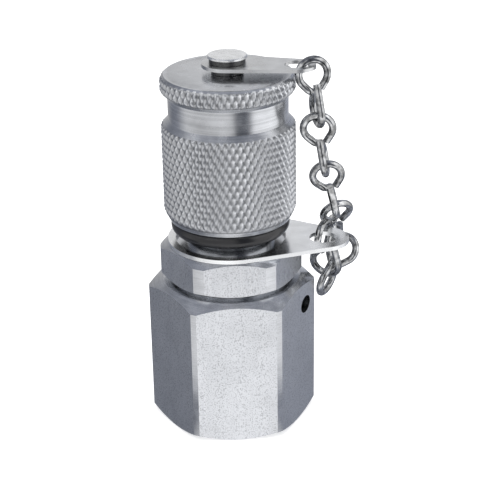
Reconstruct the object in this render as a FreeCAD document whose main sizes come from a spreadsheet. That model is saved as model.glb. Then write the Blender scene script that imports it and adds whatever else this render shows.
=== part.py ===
import FreeCAD, Part
import math
import os
import Sketcher

# Hydraulic test point coupling: a swivel nut on a turned body with a check
# valve, under a knurled screw cap that hangs on a short jack chain.
# The origin is the centre of the nut's foot, +Z up, all sizes in millimetres.

SIZES = [
    # Swivel nut, a drawn hexagon bar turned at both ends
    ("nut_wall", 1.8, "undercut to the flats"),
    ("nut_corner", 1.45, "turned corners over the flats"),
    ("nut_height", 22.5, "foot to top"),
    ("nut_top_inset", 0.8, "flat ring at the top, inside the flats"),
    ("nut_foot_inset", 0.45, "flat ring at the foot, inside the flats"),
    ("nut_turn", 3.0, "degrees, front flat as it stands"),
    ("nut_thread_length", 11.0, "M18 x 1.5 female thread, from the foot"),
    ("nut_thread_lead", 0.9, "chamfer at the thread's mouth"),
    ("nut_relief_depth", 1.01, "undercut behind the thread"),
    ("nut_relief_length", 1.5, "undercut behind the thread"),
    ("chamfer_angle", 30.0, "degrees, turned chamfers of both hexagons"),
    # Retaining wire between nut and body
    ("wire_dia", 2.0, "retaining wire"),
    ("wire_clearance", 0.05, "groove round the wire, on the radius"),
    ("wire_drop", 4.0, "nut's top to the middle of the wire"),
    ("wire_arc_angle", 318.0, "degrees of the ring that the wire fills"),
    ("wire_hole_dia", 2.6, "hole in the nut that the wire goes in by"),
    ("wire_hole_turn", 24.0, "degrees, where the hole meets the ring"),
    # Body: hexagon, spigot with cone, neck and threaded end
    ("body_gap", 0.4, "nut's top to the body's hexagon"),
    ("body_shoulder", 1.0, "spigot to the flats"),
    ("body_corner", 1.0, "turned corners over the flats"),
    ("body_hex_height", 5.3, "hexagon of the body"),
    ("body_top_inset", 0.2, "flat ring on top, inside the flats"),
    ("body_foot_inset", 0.3, "flat ring under it, inside the flats"),
    ("body_turn", 2.8, "degrees, front flat as it stands"),
    ("spigot_step", 0.31, "spigot over the thread's crests, on the radius"),
    ("turning_clearance", 0.08, "spigot in the nut, on the radius"),
    ("spigot_chamfer", 0.8, "foot of the spigot"),
    ("cone_recess", 4.5, "nut's foot to the nose of the cone"),
    ("cone_clearance", 1.09, "large end of the cone to the nut thread's crests"),
    ("cone_taper", 1.6, "large end to small end, on the radius"),
    ("cone_angle", 24.0, "degrees, included"),
    ("cone_neck_depth", 0.6, "relief between cone and spigot"),
    ("cone_neck_length", 1.2, "relief between cone and spigot"),
    ("neck_depth", 1.5, "neck over the hexagon, under the thread's crests"),
    ("neck_length", 4.6, "hexagon's top to the thread's start"),
    ("port_thread_length", 14.2, "M16 x 2 thread under the cap"),
    ("port_chamfer", 1.0, "thread's start, both ends"),
    # Seals on the body
    ("cone_seal_cord", 1.5, "O-ring in the cone"),
    ("cone_seal_groove_depth", 1.7, "large end of the cone to the groove's floor"),
    ("cone_seal_groove_width", 2.0, "groove"),
    ("cone_seal_height", 5.0, "nose of the cone to the groove's middle"),
    ("seal_seat_clearance", 0.04, "O-rings to their groove floors"),
    ("cap_seal_cord", 2.2, "black ring under the cap"),
    ("probe_seal_cord", 1.8, "O-ring in the probe bore"),
    ("probe_seal_groove_depth", 1.55, "groove in the probe bore"),
    ("probe_seal_groove_width", 2.3, "groove in the probe bore"),
    ("probe_seal_depth", 4.0, "body's top to the groove's middle"),
    # Bores of the body
    ("nose_wall", 1.5, "inlet bore to the outside of the nose"),
    ("inlet_bore_length", 20.5, "from the nose to the step"),
    ("chamber_dia", 7.2, "spring and poppet run in it, and all diameters follow from it"),
    ("inlet_step", 0.4, "chamber to the inlet bore, on the radius"),
    ("seat_width", 1.4, "chamber to the bore that the poppet closes, on the radius"),
    ("seat_bore_length", 1.3, "bore that the poppet closes"),
    ("seat_depth", 11.5, "body's top to the poppet's seat"),
    ("port_wall", 3.9, "probe bore to the thread's crests"),
    ("probe_step", 0.5, "chamber to the probe bore, on the radius"),
    ("probe_lead", 0.7, "chamfer at the probe bore's mouth"),
    # Check valve
    ("poppet_clearance", 0.3, "poppet flange in the chamber, on the radius"),
    ("seat_clearance", 0.05, "poppet's soft ring to its seat"),
    ("poppet_flange_length", 1.3, "flange of the poppet"),
    ("head_clearance", 0.3, "plug of the poppet in the seat bore, on the radius"),
    ("poppet_stem_dia", 2.0, "stem that the probe's pin pushes"),
    ("poppet_stem_length", 4.4, "flange to the stem's tip"),
    ("pin_clearance", 0.55, "pin inside the spring, on the radius"),
    ("poppet_pin_length", 2.5, "pin inside the spring"),
    ("soft_ring_cord", 0.9, "soft ring on the poppet"),
    ("soft_ring_inset", 0.4, "chamber to the outside of the soft ring"),
    ("soft_ring_stand", 0.12, "soft ring stands over the flange"),
    ("spring_wire_dia", 0.7, "valve spring"),
    ("spring_side_clearance", 0.65, "spring in the chamber, on the radius"),
    ("spring_turns", 5.0, "coils of the valve spring"),
    ("spring_clearance", 0.05, "spring's ends to their seats"),
    ("retainer_length", 2.5, "ring that carries the spring"),
    ("retainer_wall", 2.4, "inlet bore to the bore that oil passes through"),
    ("retainer_clearance", 0.02, "ring in the inlet bore, on the radius"),
    # Screw cap
    ("cap_wall", 1.7, "crests of the body's thread to the knurl's crests"),
    ("cap_height", 21.6, "foot to top"),
    ("cap_foot_drop", 0.5, "cap's foot below the body's thread"),
    ("cap_seal_gap", 0.05, "black ring to the cap's foot"),
    ("cap_foot_inset", 0.75, "width of the lower chamfer"),
    ("cap_foot_chamfer", 1.5, "height of the lower chamfer"),
    ("cap_groove_depth", 1.05, "turned groove under the top band"),
    ("cap_groove_length", 3.35, "floor of the turned groove"),
    ("cap_band_length", 1.65, "knurled band at the top, at its full width"),
    ("cap_top_inset", 0.6, "width of the top chamfer"),
    ("cap_top_chamfer", 0.5, "height of the top chamfer"),
    ("cap_thread_clearance", 0.06, "cap on the body's thread, on the radius"),
    ("cap_thread_lead", 0.4, "chamfer at the cap's mouth"),
    ("cap_stop_gap", 0.3, "body's top to the cap's inner step"),
    ("cap_stop_width", 2.0, "inner step over the body's end"),
    ("cap_roof", 2.6, "sheet of metal that the rivet holds"),
    ("knurl_depth", 0.42, "pyramids of the knurl"),
    ("knurl_count", 28.0, "main pyramids round the cap"),
    ("knurl_rise", 3.78, "height of a main pyramid"),
    # Rivet and strap on the cap
    ("rivet_dia", 3.0, "shank"),
    ("rivet_clearance", 0.05, "shank in cap and strap, on the radius"),
    ("rivet_collar_dia", 4.6, "spacer between cap and strap"),
    ("rivet_collar_height", 0.85, "spacer between cap and strap"),
    ("rivet_neck_dia", 5.2, "step under the rivet's head"),
    ("rivet_neck_height", 0.75, "step under the rivet's head"),
    ("rivet_head_dia", 5.74, "flat head over the strap"),
    ("rivet_head_height", 0.35, "flat head over the strap"),
    ("rivet_foot_dia", 4.8, "upset end inside the cap"),
    ("rivet_foot_height", 0.7, "upset end inside the cap"),
    ("rivet_play", 0.05, "faces that turn against the rivet"),
    ("strap_thickness", 0.5, "cap strap"),
    ("strap_head_dia", 7.4, "round end under the rivet"),
    ("strap_end_dia", 5.4, "round end at the chain"),
    ("strap_overhang", 0.2, "knurl's crests to the middle of the chain's hole"),
    ("strap_hole_dia", 3.6, "chain's hole"),
    ("strap_turn", -10.0, "degrees, where the strap points"),
    # Ring with ear on the body's hexagon
    ("ring_thickness", 0.6, "flat ring and ear"),
    ("ring_bore_clearance", 0.15, "ring passes over the M16 thread, on the radius"),
    ("ring_rim", 1.15, "width of the flat ring"),
    ("ring_play", 0.05, "ring to the hexagon's top"),
    ("ear_dia", 7.7, "round end of the ear"),
    ("ear_stand", 4.35, "outside of the ring to the middle of the ear's hole"),
    ("ear_hole_dia", 4.0, "chain's hole"),
    ("ear_turn", -6.5, "degrees, where the ear points"),
    # Jack chain
    ("link_wire_dia", 1.1, "wire"),
    ("link_length", 10.6, "end to end"),
    ("link_loop_dia", 5.3, "outside of a loop"),
    ("link_flank_angle", 38.0, "degrees, flanks that close a loop"),
    ("link_flank_length", 1.3, "flank from the loop to the upper cut end"),
    ("link_waist", 0.95, "where the flanks begin to bend over"),
    ("link_stub_angle", 10.0, "degrees, flank of the lower cut end"),
    ("link_stub_length", 3.8, "flank from the loop to the lower cut end"),
    ("link_play", 0.1, "wire to wire where links hang"),
    ("strap_hang", 2.25, "middle of the strap's hole to the loop's middle"),
    ("strap_play", 0.2, "first link's loop over the strap"),
    ("ear_hang", 2.925, "middle of the ear's hole to the loop's middle"),
    ("ear_play", 0.6, "last link's loop over the ear"),
    # Rest pose of the links, in degrees: how far the lower end leans out from
    # the cap, leans back from the front, and turns about the link's length
    ("link_1_out_angle", 6.4, "first link"),
    ("link_1_back_angle", -1.0, "first link"),
    ("link_1_turn_angle", 13.1, "first link"),
    ("link_2_out_angle", 10.3, "second link"),
    ("link_2_back_angle", 10.7, "second link"),
    ("link_2_turn_angle", -4.4, "second link"),
    ("link_3_out_angle", 13.1, "third link"),
    ("link_3_back_angle", 18.5, "third link"),
    ("link_3_turn_angle", 3.0, "third link"),
    ("link_4_out_angle", 3.1, "fourth link"),
    ("link_4_back_angle", 33.7, "fourth link"),
    ("link_4_turn_angle", 15.7, "fourth link"),
    ("link_5_out_angle", -30.7, "fifth link"),
    ("link_5_back_angle", -23.1, "fifth link"),
    ("link_5_turn_angle", -20.6, "fifth link"),
    ("link_6_out_angle", 4.5, "sixth link, which goes back up to the ear"),
    ("link_6_back_angle", 14.7, "sixth link"),
    ("link_6_turn_angle", 61.3, "sixth link"),
]


class Length:
    """A size from the sheet, or a sum of such sizes, with its formula."""

    def __init__(self, value, formula):
        self.value = value
        self.formula = formula

    def __add__(self, other):
        other = as_length(other)
        return Length(self.value + other.value, "(%s + %s)" % (self.formula, other.formula))

    def __sub__(self, other):
        other = as_length(other)
        return Length(self.value - other.value, "(%s - %s)" % (self.formula, other.formula))

    def __mul__(self, other):
        other = as_length(other)
        return Length(self.value * other.value, "(%s * %s)" % (self.formula, other.formula))

    def __truediv__(self, other):
        other = as_length(other)
        return Length(self.value / other.value, "(%s / %s)" % (self.formula, other.formula))


def as_length(number):
    if isinstance(number, Length):
        return number
    return Length(float(number), "%r" % float(number))


def tangent(angle):
    return Length(math.tan(math.radians(angle.value)), "tan(%s * 1 deg)" % angle.formula)


class Sizes:
    """The sheet of driving sizes, each one read by its name."""

    def __init__(self, document, rows):
        self.sheet = document.addObject("Spreadsheet::Sheet", "Sizes")
        for row, (name, value, note) in enumerate(rows, start=1):
            self.sheet.set("A%d" % row, name)
            self.sheet.set("B%d" % row, str(value))
            self.sheet.set("C%d" % row, note)
            self.sheet.setAlias("B%d" % row, name)
        document.recompute()
        for name, _, _ in rows:
            setattr(self, name, Length(float(self.sheet.get(name)), "Sizes." + name))


doc = FreeCAD.newDocument("TestPointCoupling")
size = Sizes(doc, SIZES)
ORIGIN = Length(0.0, "0")
FULL_TURN = 360

# Diameters, from the valve's chamber outwards
inlet_bore_dia = size.chamber_dia + size.inlet_step * 2
cone_nose_dia = inlet_bore_dia + size.nose_wall * 2
cone_root_dia = cone_nose_dia + size.cone_taper * 2
cone_seal_groove_dia = cone_root_dia - size.cone_seal_groove_depth * 2
nut_thread_dia = cone_root_dia + size.cone_clearance * 2
nut_relief_dia = nut_thread_dia + size.nut_relief_depth * 2
nut_width = nut_relief_dia + size.nut_wall * 2
spigot_dia = nut_thread_dia + size.spigot_step * 2
body_width = spigot_dia + size.body_shoulder * 2
probe_bore_dia = size.chamber_dia + size.probe_step * 2
probe_seal_groove_dia = probe_bore_dia + size.probe_seal_groove_depth * 2
port_thread_dia = probe_bore_dia + size.port_wall * 2
neck_dia = port_thread_dia - size.neck_depth * 2
cap_dia = port_thread_dia + size.cap_wall * 2
strap_reach = cap_dia / 2 + size.strap_overhang
ring_bore_dia = port_thread_dia + size.ring_bore_clearance * 2
ring_dia = ring_bore_dia + size.ring_rim * 2
ear_reach = ring_dia / 2 + size.ear_stand

# Diameters inside the chamber
seat_bore_dia = size.chamber_dia - size.seat_width * 2
poppet_head_dia = seat_bore_dia - size.head_clearance * 2
spring_dia = size.chamber_dia - size.spring_side_clearance * 2
poppet_pin_dia = spring_dia - size.spring_wire_dia * 2 - size.pin_clearance * 2
soft_ring_dia = size.chamber_dia - size.soft_ring_inset * 2
retainer_bore_dia = inlet_bore_dia - size.retainer_wall * 2

# Heights that several pieces share
nut_top = size.nut_height
wire_level = nut_top - size.wire_drop
hex_foot = nut_top + size.body_gap
hex_top = hex_foot + size.body_hex_height
port_foot = hex_top + size.neck_length
port_top = port_foot + size.port_thread_length
cap_foot = port_foot - size.cap_foot_drop
cap_top = cap_foot + size.cap_height
roof_foot = cap_top - size.cap_roof
strap_foot = cap_top + size.rivet_play * 2 + size.rivet_collar_height
strap_top = strap_foot + size.strap_thickness
ring_foot = hex_top + size.ring_play
ring_top = ring_foot + size.ring_thickness
nose_level = size.cone_recess
step_level = nose_level + size.inlet_bore_length
seat_level = port_top - size.seat_depth
flange_top = seat_level - size.seat_clearance - size.soft_ring_stand
flange_foot = flange_top - size.poppet_flange_length

# Radii that several pieces share
spigot_radius = spigot_dia / 2
nut_bore_radius = spigot_radius + size.turning_clearance
wire_ring_radius = spigot_radius + size.turning_clearance / 2
wire_groove_radius = size.wire_dia / 2 + size.wire_clearance
port_radius = port_thread_dia / 2
rivet_radius = size.rivet_dia / 2
rivet_hole_radius = rivet_radius + size.rivet_clearance


def new_body(label):
    body = doc.addObject("PartDesign::Body", label)
    body.Label = label
    return body


def new_sketch(body, name, plane_role):
    """A sketch on one of the body's own origin planes."""
    sketch = body.newObject("Sketcher::SketchObject", name)
    planes = [plane for plane in body.Origin.OriginFeatures if plane.Role == plane_role]
    sketch.AttachmentSupport = (planes[0], [""])
    sketch.MapMode = "FlatFace"
    return sketch


def place_point(sketch, edge, end, across, up):
    """Tie one end of an edge to the sheet, or to an axis where it lies on one."""
    for kind, axis, distance in (("DistanceX", -2, across), ("DistanceY", -1, up)):
        if abs(distance.value) < 1e-9:
            sketch.addConstraint(Sketcher.Constraint("PointOnObject", edge, end, axis))
            continue
        index = sketch.addConstraint(Sketcher.Constraint(kind, -1, 1, edge, end, distance.value))
        sketch.setExpression("Constraints[%d]" % index, distance.formula)


def draw_outline(sketch, corners):
    """Straight edges round the corners, which are pairs of across and up."""
    points = [FreeCAD.Vector(across.value, up.value, 0) for across, up in corners]
    count = len(points)
    for index in range(count):
        sketch.addGeometry(Part.LineSegment(points[index], points[(index + 1) % count]), False)
    for index in range(count):
        joint = Sketcher.Constraint("Coincident", index, 2, (index + 1) % count, 1)
        sketch.addConstraint(joint)
    for index, (across, up) in enumerate(corners):
        place_point(sketch, index, 1, across, up)


def draw_circle(sketch, across, up, radius):
    centre = FreeCAD.Vector(across.value, up.value, 0)
    circle = Part.Circle(centre, FreeCAD.Vector(0, 0, 1), radius.value)
    edge = sketch.addGeometry(circle, False)
    place_point(sketch, edge, 3, across, up)
    index = sketch.addConstraint(Sketcher.Constraint("Radius", edge, radius.value))
    sketch.setExpression("Constraints[%d]" % index, radius.formula)


def turned(body, kind, name, sketch, angle=None):
    """A full or part turn of the sketch about the body's upright axis."""
    feature = body.newObject("PartDesign::" + kind, name)
    feature.Profile = sketch
    feature.ReferenceAxis = (sketch, ["V_Axis"])
    feature.Angle = FULL_TURN if angle is None else angle.value
    if angle is not None:
        feature.Midplane = True
        feature.setExpression("Angle", angle.formula)
    return feature


def turn_outline(body, kind, name, corners):
    sketch = new_sketch(body, name + "Profile", "XZ_Plane")
    draw_outline(sketch, corners)
    return turned(body, kind, name, sketch)


def turn_circle(body, kind, name, across, up, radius, angle=None):
    sketch = new_sketch(body, name + "Profile", "XZ_Plane")
    draw_circle(sketch, across, up, radius)
    return turned(body, kind, name, sketch, angle)


def hexagon_pad(body, width, foot, height):
    """A hexagonal bar with a corner on the sketch's own X axis."""
    sketch = new_sketch(body, "HexagonProfile", "XY_Plane")
    sketch.AttachmentOffset = FreeCAD.Placement(FreeCAD.Vector(0, 0, foot.value), FreeCAD.Rotation())
    sketch.setExpression("AttachmentOffset.Base.z", foot.formula)
    corner_radius = width / 2 / Length(math.cos(math.pi / 6), "cos(30 deg)")
    corners = []
    for index in range(6):
        angle = math.radians(60 * index)
        corner = FreeCAD.Vector(math.cos(angle), math.sin(angle), 0) * corner_radius.value
        corners.append(corner)
    for index in range(6):
        sketch.addGeometry(Part.LineSegment(corners[index], corners[(index + 1) % 6]), False)
    guide = Part.Circle(FreeCAD.Vector(0, 0, 0), FreeCAD.Vector(0, 0, 1), corner_radius.value)
    ring = sketch.addGeometry(guide, True)
    sketch.addConstraint(Sketcher.Constraint("Coincident", ring, 3, -1, 1))
    for index in range(6):
        joint = Sketcher.Constraint("Coincident", index, 2, (index + 1) % 6, 1)
        sketch.addConstraint(joint)
        sketch.addConstraint(Sketcher.Constraint("PointOnObject", index, 1, ring))
    for index in range(1, 6):
        sketch.addConstraint(Sketcher.Constraint("Equal", 0, index))
    sketch.addConstraint(Sketcher.Constraint("PointOnObject", 0, 1, -1))
    index = sketch.addConstraint(Sketcher.Constraint("Radius", ring, corner_radius.value))
    sketch.setExpression("Constraints[%d]" % index, corner_radius.formula)
    return pad(body, "Hexagon", sketch, height)


def pad(body, name, sketch, height):
    feature = body.newObject("PartDesign::Pad", name)
    feature.Profile = sketch
    feature.Length = height.value
    feature.setExpression("Length", height.formula)
    return feature


def turn_corners(body, width, corner, foot, height, foot_inset, top_inset):
    """Turn a hexagon's corners round, with a chamfer at its foot and top."""
    slope = tangent(size.chamfer_angle)
    outside = width
    radius = width / 2 + corner
    foot_radius = width / 2 - foot_inset
    top_radius = width / 2 - top_inset
    top = foot + height
    turn_outline(body, "Groove", "TurnedCorners", [
        (foot_radius, foot),
        (outside, foot),
        (outside, top),
        (top_radius, top),
        (radius, top - (radius - top_radius) * slope),
        (radius, foot + (radius - foot_radius) * slope),
    ])


def turn_body(body, angle):
    body.Placement.Rotation = FreeCAD.Rotation(FreeCAD.Vector(0, 0, 1), angle.value)
    body.setExpression("Placement.Rotation.Angle", "%s * 1 deg" % angle.formula)


def make_swivel_nut():
    body = new_body("swivel_nut")
    hexagon_pad(body, nut_width, ORIGIN, size.nut_height)
    turn_corners(body, nut_width, size.nut_corner, ORIGIN, size.nut_height,
                 size.nut_foot_inset, size.nut_top_inset)
    thread_radius = nut_thread_dia / 2
    relief_radius = nut_relief_dia / 2
    relief_top = size.nut_thread_length + size.nut_relief_length
    turn_outline(body, "Groove", "Bore", [
        (ORIGIN, ORIGIN),
        (thread_radius + size.nut_thread_lead, ORIGIN),
        (thread_radius, size.nut_thread_lead),
        (thread_radius, size.nut_thread_length),
        (relief_radius, size.nut_thread_length + (relief_radius - thread_radius)),
        (relief_radius, relief_top),
        (nut_bore_radius, relief_top + (relief_radius - nut_bore_radius)),
        (nut_bore_radius, size.nut_height),
        (ORIGIN, size.nut_height),
    ])
    turn_circle(body, "Groove", "WireGroove", wire_ring_radius, wire_level, wire_groove_radius)
    cut_wire_hole(body)
    turn_body(body, size.nut_turn)
    return body


def cut_wire_hole(body):
    """The hole that meets the wire's ring at a tangent and leaves the nut."""
    sketch = new_sketch(body, "WireHoleProfile", "XZ_Plane")
    turn = FreeCAD.Rotation(FreeCAD.Vector(0, 1, 0), size.wire_hole_turn.value)
    sketch.AttachmentOffset = FreeCAD.Placement(FreeCAD.Vector(0, 0, 0), turn)
    sketch.setExpression("AttachmentOffset.Rotation.Angle", size.wire_hole_turn.formula + " * 1 deg")
    draw_circle(sketch, wire_ring_radius, wire_level, size.wire_hole_dia / 2)
    hole = body.newObject("PartDesign::Pocket", "WireHole")
    hole.Profile = sketch
    hole.Length = nut_width.value
    hole.setExpression("Length", nut_width.formula)
    hole.Reversed = True


def make_coupling_body():
    body = new_body("coupling_body")
    hexagon_pad(body, body_width, hex_foot, size.body_hex_height)
    turn_corners(body, body_width, size.body_corner, hex_foot, size.body_hex_height,
                 size.body_foot_inset, size.body_top_inset)
    turn_spigot_and_port(body)
    bore_body(body)
    groove_radius = cone_seal_groove_dia / 2
    groove_middle = nose_level + size.cone_seal_height
    half_width = size.cone_seal_groove_width / 2
    turn_outline(body, "Groove", "ConeSealGroove", [
        (groove_radius, groove_middle - half_width),
        (cone_root_dia, groove_middle - half_width),
        (cone_root_dia, groove_middle + half_width),
        (groove_radius, groove_middle + half_width),
    ])
    turn_circle(body, "Groove", "WireGroove", wire_ring_radius, wire_level, wire_groove_radius)
    turn_body(body, size.body_turn)
    return body


def turn_spigot_and_port(body):
    nose_radius = cone_nose_dia / 2
    root_radius = cone_root_dia / 2
    root_level = nose_level + (root_radius - nose_radius) / tangent(size.cone_angle / 2)
    cone_neck_radius = root_radius - size.cone_neck_depth
    spigot_foot = root_level + size.cone_neck_length
    hex_middle = hex_foot + size.body_hex_height / 2
    neck_radius = neck_dia / 2
    crest = port_radius - size.port_chamfer
    turn_outline(body, "Revolution", "SpigotAndPort", [
        (ORIGIN, nose_level),
        (nose_radius, nose_level),
        (root_radius, root_level),
        (cone_neck_radius, root_level),
        (cone_neck_radius, spigot_foot),
        (spigot_radius - size.spigot_chamfer, spigot_foot),
        (spigot_radius, spigot_foot + size.spigot_chamfer),
        (spigot_radius, hex_middle),
        (neck_radius, hex_middle),
        (neck_radius, port_foot),
        (crest, port_foot),
        (port_radius, port_foot + size.port_chamfer),
        (port_radius, port_top - size.port_chamfer),
        (crest, port_top),
        (ORIGIN, port_top),
    ])


def bore_body(body):
    inlet_radius = inlet_bore_dia / 2
    chamber_radius = size.chamber_dia / 2
    seat_radius = seat_bore_dia / 2
    probe_radius = probe_bore_dia / 2
    seat_top = seat_level + size.seat_bore_length
    shoulder_top = seat_top + (probe_radius - seat_radius)
    groove_radius = probe_seal_groove_dia / 2
    groove_middle = port_top - size.probe_seal_depth
    groove_foot = groove_middle - size.probe_seal_groove_width / 2
    groove_top = groove_middle + size.probe_seal_groove_width / 2
    turn_outline(body, "Groove", "Bores", [
        (ORIGIN, nose_level),
        (inlet_radius, nose_level),
        (inlet_radius, step_level),
        (chamber_radius, step_level),
        (chamber_radius, seat_level),
        (seat_radius, seat_level),
        (seat_radius, seat_top),
        (probe_radius, shoulder_top),
        (probe_radius, groove_foot),
        (groove_radius, groove_foot),
        (groove_radius, groove_top),
        (probe_radius, groove_top),
        (probe_radius, port_top - size.probe_lead),
        (probe_radius + size.probe_lead, port_top),
        (ORIGIN, port_top),
    ])


def make_ring_seal(label, middle_radius, level, cord):
    body = new_body(label)
    turn_circle(body, "Revolution", "Ring", middle_radius, level, cord / 2)
    return body


def make_retaining_wire():
    body = new_body("retaining_wire")
    turn_circle(body, "Revolution", "Ring", wire_ring_radius, wire_level, size.wire_dia / 2,
                size.wire_arc_angle)
    return body


def make_seals():
    cone_radius = (cone_seal_groove_dia + size.cone_seal_cord) / 2 + size.seal_seat_clearance
    make_ring_seal("cone_seal_ring", cone_radius, nose_level + size.cone_seal_height,
                   size.cone_seal_cord)
    cap_seal_radius = (neck_dia + size.cap_seal_cord) / 2 + size.seal_seat_clearance
    cap_seal_level = cap_foot - size.cap_seal_gap - size.cap_seal_cord / 2
    make_ring_seal("cap_seal_ring", cap_seal_radius, cap_seal_level, size.cap_seal_cord)
    probe_floor = probe_seal_groove_dia - size.probe_seal_cord
    make_ring_seal("probe_seal_ring", probe_floor / 2 - size.seal_seat_clearance,
                   port_top - size.probe_seal_depth, size.probe_seal_cord)
    soft_radius = (soft_ring_dia - size.soft_ring_cord) / 2
    soft_level = flange_top + size.soft_ring_stand - size.soft_ring_cord / 2
    make_ring_seal("poppet_seal", soft_radius, soft_level, size.soft_ring_cord)


def make_valve_poppet():
    body = new_body("valve_poppet")
    flange_radius = size.chamber_dia / 2 - size.poppet_clearance
    head_radius = poppet_head_dia / 2
    stem_radius = size.poppet_stem_dia / 2
    pin_radius = poppet_pin_dia / 2
    head_top = flange_top + size.seat_bore_length
    stem_top = flange_top + size.poppet_stem_length
    tip = stem_radius / 2
    turn_outline(body, "Revolution", "Poppet", [
        (ORIGIN, flange_foot - size.poppet_pin_length),
        (pin_radius, flange_foot - size.poppet_pin_length),
        (pin_radius, flange_foot),
        (flange_radius, flange_foot),
        (flange_radius, flange_top),
        (head_radius, flange_top),
        (head_radius, head_top - (head_radius - stem_radius)),
        (stem_radius, head_top),
        (stem_radius, stem_top - tip),
        (stem_radius - tip, stem_top),
        (ORIGIN, stem_top),
    ])
    soft_radius = (soft_ring_dia - size.soft_ring_cord) / 2
    soft_level = flange_top + size.soft_ring_stand - size.soft_ring_cord / 2
    turn_circle(body, "Groove", "SoftRingGroove", soft_radius, soft_level,
                size.soft_ring_cord / 2)
    return body


def make_valve_spring():
    """A coil between the retainer and the poppet, its ends ground flat."""
    body = new_body("valve_spring")
    foot = step_level + size.spring_clearance
    height = flange_foot - size.spring_clearance - foot
    wire_radius = size.spring_wire_dia / 2
    coil_radius = spring_dia / 2 - wire_radius
    profile = new_sketch(body, "CoilProfile", "XZ_Plane")
    draw_circle(profile, coil_radius, foot, wire_radius)
    coil = body.newObject("PartDesign::AdditiveHelix", "Coil")
    coil.Profile = profile
    coil.ReferenceAxis = (profile, ["V_Axis"])
    coil.Mode = "height-turns-angle"
    coil.Height = height.value
    coil.Turns = size.spring_turns.value
    coil.setExpression("Height", height.formula)
    coil.setExpression("Turns", size.spring_turns.formula)
    for name, low, high in (("GroundFoot", foot - size.spring_wire_dia, foot),
                            ("GroundTop", foot + height, foot + height + size.spring_wire_dia)):
        turn_outline(body, "Groove", name, [
            (ORIGIN, low),
            (spring_dia, low),
            (spring_dia, high),
            (ORIGIN, high),
        ])
    return body


def make_spring_retainer():
    body = new_body("spring_retainer")
    outside = inlet_bore_dia / 2 - size.retainer_clearance
    inside = retainer_bore_dia / 2
    foot = step_level - size.retainer_length
    turn_outline(body, "Revolution", "Ring", [
        (inside, foot),
        (outside, foot),
        (outside, step_level),
        (inside, step_level),
    ])
    return body


def make_cap():
    """The turned cap, and what the knurl's pyramids leave of it."""
    body = new_body("cap_blank")
    radius = cap_dia / 2
    over = size.knurl_depth / 2
    groove_radius = radius - size.cap_groove_depth
    blend = size.cap_groove_depth
    band_top = cap_top - size.cap_top_chamfer
    band_foot = band_top - size.cap_band_length
    groove_foot = band_foot - blend - size.cap_groove_length
    foot_slope = size.cap_foot_chamfer / size.cap_foot_inset
    top_slope = size.cap_top_chamfer / size.cap_top_inset
    turn_outline(body, "Revolution", "Outside", [
        (ORIGIN, cap_foot),
        (radius - size.cap_foot_inset, cap_foot),
        (radius + over, cap_foot + size.cap_foot_chamfer + over * foot_slope),
        (radius + over, groove_foot - blend - over),
        (groove_radius, groove_foot),
        (groove_radius, band_foot - blend),
        (radius + over, band_foot + over),
        (radius + over, band_top - over * top_slope),
        (radius - size.cap_top_inset, cap_top),
        (ORIGIN, cap_top),
    ])
    bore_radius = port_radius + size.cap_thread_clearance
    recess_radius = port_radius - size.cap_stop_width
    inner_step = port_top + size.cap_stop_gap
    turn_outline(body, "Groove", "Inside", [
        (ORIGIN, cap_foot),
        (bore_radius + size.cap_thread_lead, cap_foot),
        (bore_radius, cap_foot + size.cap_thread_lead),
        (bore_radius, inner_step),
        (recess_radius, inner_step),
        (recess_radius, roof_foot),
        (rivet_hole_radius, roof_foot),
        (rivet_hole_radius, cap_top),
        (ORIGIN, cap_top),
    ])
    knurl = doc.addObject("Part::Feature", "knurl")
    knurl.Shape = knurl_solid(radius.value)
    cap = doc.addObject("Part::MultiCommon", "cap")
    cap.Label = "cap"
    cap.Shapes = [body, knurl]
    return cap


def knurl_solid(crest):
    """A bar whose surface is all pyramids, parted by crossing grooves."""
    count = 2 * int(size.knurl_count.value)
    step = size.knurl_rise.value / 2
    foot = cap_foot.value - step / 2
    rows = int((cap_top.value - foot) / step) + 1
    root = crest - size.knurl_depth.value

    def corner(column, row):
        reach = root if (column + row) % 2 else crest
        angle = 2 * math.pi * (column % count) / count
        return FreeCAD.Vector(reach * math.cos(angle), reach * math.sin(angle), foot + row * step)

    faces = []
    for row in range(rows):
        for column in range(count):
            low, next_low = corner(column, row), corner(column + 1, row)
            high, next_high = corner(column, row + 1), corner(column + 1, row + 1)
            if (column + row) % 2:
                halves = ((low, next_low, next_high), (low, next_high, high))
            else:
                halves = ((low, next_low, high), (next_low, next_high, high))
            faces += [flat_face(half) for half in halves]
    for row in (0, rows):
        faces.append(flat_face([corner(column, row) for column in range(count)]))
    return Part.Solid(Part.makeShell(faces))


def flat_face(corners):
    return Part.Face(Part.makePolygon(list(corners) + [corners[0]]))


def make_cap_rivet():
    """A flat head, a spacer under the strap and an upset end in the cap."""
    body = new_body("cap_rivet")
    foot_top = roof_foot - size.rivet_play
    foot_low = foot_top - size.rivet_foot_height
    collar_foot = cap_top + size.rivet_play
    collar_top = collar_foot + size.rivet_collar_height
    neck_foot = strap_top + size.rivet_play
    head_foot = neck_foot + size.rivet_neck_height
    head_top = head_foot + size.rivet_head_height
    foot_radius = size.rivet_foot_dia / 2
    collar_radius = size.rivet_collar_dia / 2
    neck_radius = size.rivet_neck_dia / 2
    head_radius = size.rivet_head_dia / 2
    edge = size.rivet_head_height / 3
    turn_outline(body, "Revolution", "Rivet", [
        (ORIGIN, foot_low),
        (foot_radius - edge, foot_low),
        (foot_radius, foot_low + edge),
        (foot_radius, foot_top),
        (rivet_radius, foot_top),
        (rivet_radius, collar_foot),
        (collar_radius, collar_foot),
        (collar_radius, collar_top),
        (rivet_radius, collar_top),
        (rivet_radius, neck_foot),
        (neck_radius, neck_foot),
        (neck_radius, head_foot),
        (head_radius, head_foot),
        (head_radius, head_top - edge),
        (head_radius - edge, head_top),
        (ORIGIN, head_top),
    ])
    return body


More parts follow.
